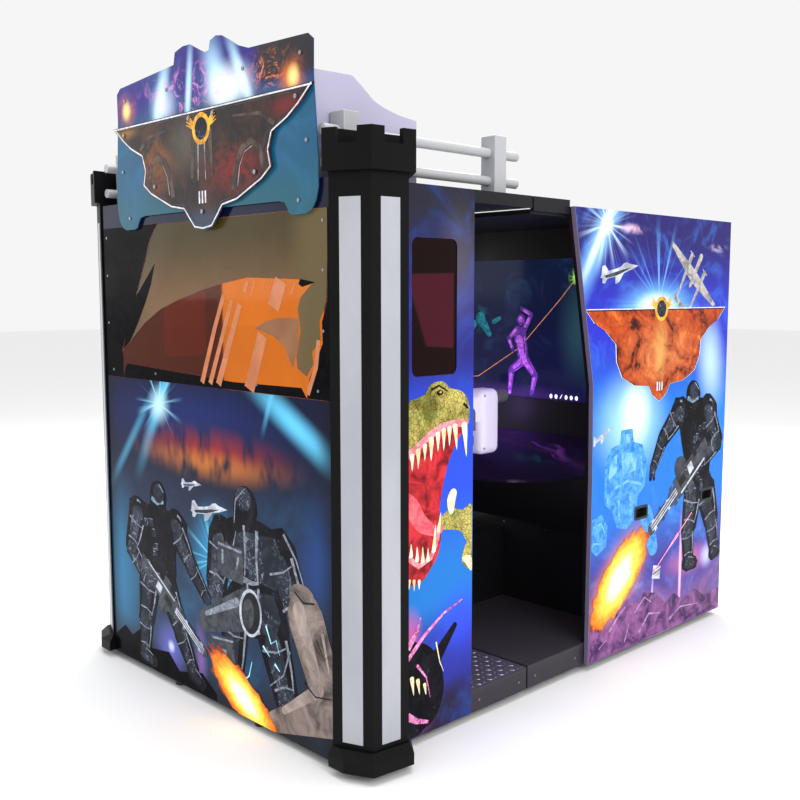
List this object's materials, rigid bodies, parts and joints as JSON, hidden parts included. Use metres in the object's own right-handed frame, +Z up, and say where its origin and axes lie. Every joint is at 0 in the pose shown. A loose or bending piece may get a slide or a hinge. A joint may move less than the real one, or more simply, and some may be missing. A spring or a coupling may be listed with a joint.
{
  "type": "light gun cabinet",
  "caption": "Walk-in arcade shooting cabinet with castle-tower corners, side doorways, bench, large screen and pivoting mounted guns under a winged marquee.",
  "frame": {"origin": "centre of the bounding box in plan, on the floor plane", "axes": "+Z up, +Y from the front art panel towards the rear service door, +X to the right seen from the front"},
  "size_m": [1.908, 2.5448, 2.541],
  "materials": {
    "front_art": "printed vinyl, gloss laminate",
    "side_art": "printed vinyl, gloss laminate",
    "module_art": "printed vinyl, gloss laminate",
    "amber_acrylic": "amber tinted, printed edges",
    "dark_acrylic": "dark red tinted",
    "black_paint": "fine textured powder coat",
    "light_strip": "opal diffuser",
    "black_board": "black laminate",
    "tread_plate": "black checker plate",
    "lilac_trim": "extruded edging",
    "black_plastic": "moulded",
    "steel": "zinc plated",
    "display_glass": "lit screen",
    "gloss_black": "high gloss sheet",
    "button_red": "moulded",
    "gun_metal": "satin",
    "gun_white": "moulded, satin",
    "seat_vinyl": "grained vinyl",
    "marquee_art": "printed acrylic",
    "emblem_art": "printed acrylic",
    "lilac_paint": "satin",
    "white_paint": "satin",
    "black_rubber": "moulded"
  },
  "bodies": {
    "cabinet": {"front_panel": "front_art", "front_window": "amber_acrylic", "front_header": "front_art", "side_panel_right": "side_art", "side_panel_left": "side_art", "side_windows": "dark_acrylic", "towers": "black_paint", "tower_caps": "black_paint", "tower_plinths": "black_paint", "tower_lights": "light_strip", "base_frames": "black_board", "floor_boards": "black_board", "tread_plate": "tread_plate", "roof_panels": "black_board", "art_panel_right": "module_art", "art_panel_left": "module_art", "edge_trims": "lilac_trim", "cup_handles": "black_plastic", "rear_panel": "black_board", "door_hinges": "steel", "bulkhead": "black_board", "screen_bezel": "black_board", "display": "display_glass", "speaker_grilles": "black_paint", "console_deck": "gloss_black", "console_front": "black_board", "pedestal": "black_board", "gun_stand": "black_paint", "bench_base": "black_board", "seat_cushion": "seat_vinyl", "back_cushion": "seat_vinyl", "marquee_back": "black_board", "marquee_layer": "marquee_art", "marquee_emblem": "emblem_art", "roof_fins": "lilac_paint", "rail_tubes": "white_paint", "rail_posts": "white_paint", "feet": "black_rubber", "caster_forks": "steel", "power_inlet": "black_plastic", "panel_screws": "steel"},
    "service_door": {"service_door": "black_board"},
    "service_lock": {"service_lock": "steel"},
    "coin_door": {"coin_door": "black_paint", "coin_plate": "steel"},
    "coin_return": {"coin_return": "button_red"},
    "yoke_right": {"gun_yoke_right": "gun_metal"},
    "gun_right": {"gun_shell_right": "gun_white", "gun_barrel_right": "gun_metal"},
    "trigger_right": {"trigger_right": "button_red"},
    "start_button_right": {"start_button_right": "button_red"},
    "yoke_left": {"gun_yoke_left": "gun_metal"},
    "gun_left": {"gun_shell_left": "gun_white", "gun_barrel_left": "gun_metal"},
    "trigger_left": {"trigger_left": "button_red"},
    "start_button_left": {"start_button_left": "button_red"},
    "wheel_front_right": {"caster_wheel_front_right": "black_rubber"},
    "wheel_front_left": {"caster_wheel_front_left": "black_rubber"},
    "wheel_rear_right": {"caster_wheel_rear_right": "black_rubber"},
    "wheel_rear_left": {"caster_wheel_rear_left": "black_rubber"}
  },
  "joints": [
    {"name": "service_door_hinge", "type": "hinge", "parent": "cabinet", "child": "service_door", "pos_m": [-0.352, 1.2674, 0.9], "axis": [0, 0, 1], "range_deg": [0, 110]},
    {"name": "service_lock_turn", "type": "hinge", "parent": "service_door", "child": "service_lock", "pos_m": [0.322, 1.26, 0.9], "axis": [0, -1, 0], "range_deg": [0, 90]},
    {"name": "coin_door_hinge", "type": "hinge", "parent": "cabinet", "child": "coin_door", "pos_m": [-0.098, -0.2142, 0.26], "axis": [0, 0, -1], "range_deg": [0, 110]},
    {"name": "coin_return_push", "type": "slide", "parent": "coin_door", "child": "coin_return", "axis": [0, 1, 0], "range_m": [0, 0.004], "stiffness_N_per_m": 200, "springref_m": -0.002},
    {"name": "gun_yaw_right", "type": "hinge", "parent": "cabinet", "child": "yoke_right", "pos_m": [0.3, -0.12, 1], "axis": [0, 0, 1], "range_deg": [-30, 30]},
    {"name": "gun_pitch_right", "type": "hinge", "parent": "yoke_right", "child": "gun_right", "pos_m": [0.3, -0.12, 1.1], "axis": [1, 0, 0], "range_deg": [-10, 20]},
    {"name": "trigger_pull_right", "type": "hinge", "parent": "gun_right", "child": "trigger_right", "pos_m": [0.3, -0.3, 1.062], "axis": [-1, 0, 0], "range_deg": [0, 15], "stiffness_Nm_per_rad": 0.5, "springref_deg": -8.59},
    {"name": "start_push_right", "type": "slide", "parent": "cabinet", "child": "start_button_right", "axis": [0, 1, 0], "range_m": [0, 0.004], "stiffness_N_per_m": 400, "springref_m": -0.002},
    {"name": "gun_yaw_left", "type": "hinge", "parent": "cabinet", "child": "yoke_left", "pos_m": [-0.3, -0.12, 1], "axis": [0, 0, 1], "range_deg": [-30, 30]},
    {"name": "gun_pitch_left", "type": "hinge", "parent": "yoke_left", "child": "gun_left", "pos_m": [-0.3, -0.12, 1.1], "axis": [1, 0, 0], "range_deg": [-10, 20]},
    {"name": "trigger_pull_left", "type": "hinge", "parent": "gun_left", "child": "trigger_left", "pos_m": [-0.3, -0.3, 1.062], "axis": [-1, 0, 0], "range_deg": [0, 15], "stiffness_Nm_per_rad": 0.5, "springref_deg": -8.59},
    {"name": "start_push_left", "type": "slide", "parent": "cabinet", "child": "start_button_left", "axis": [0, 1, 0], "range_m": [0, 0.004], "stiffness_N_per_m": 400, "springref_m": -0.002},
    {"name": "caster_roll_front_right", "type": "hinge", "parent": "cabinet", "child": "wheel_front_right", "pos_m": [0.59, -1.168, 0.032], "axis": [1, 0, 0], "continuous": true},
    {"name": "caster_roll_front_left", "type": "hinge", "parent": "cabinet", "child": "wheel_front_left", "pos_m": [-0.59, -1.168, 0.032], "axis": [1, 0, 0], "continuous": true},
    {"name": "caster_roll_rear_right", "type": "hinge", "parent": "cabinet", "child": "wheel_rear_right", "pos_m": [0.59, 1.182, 0.032], "axis": [1, 0, 0], "continuous": true},
    {"name": "caster_roll_rear_left", "type": "hinge", "parent": "cabinet", "child": "wheel_rear_left", "pos_m": [-0.59, 1.182, 0.032], "axis": [1, 0, 0], "continuous": true}
  ]
}
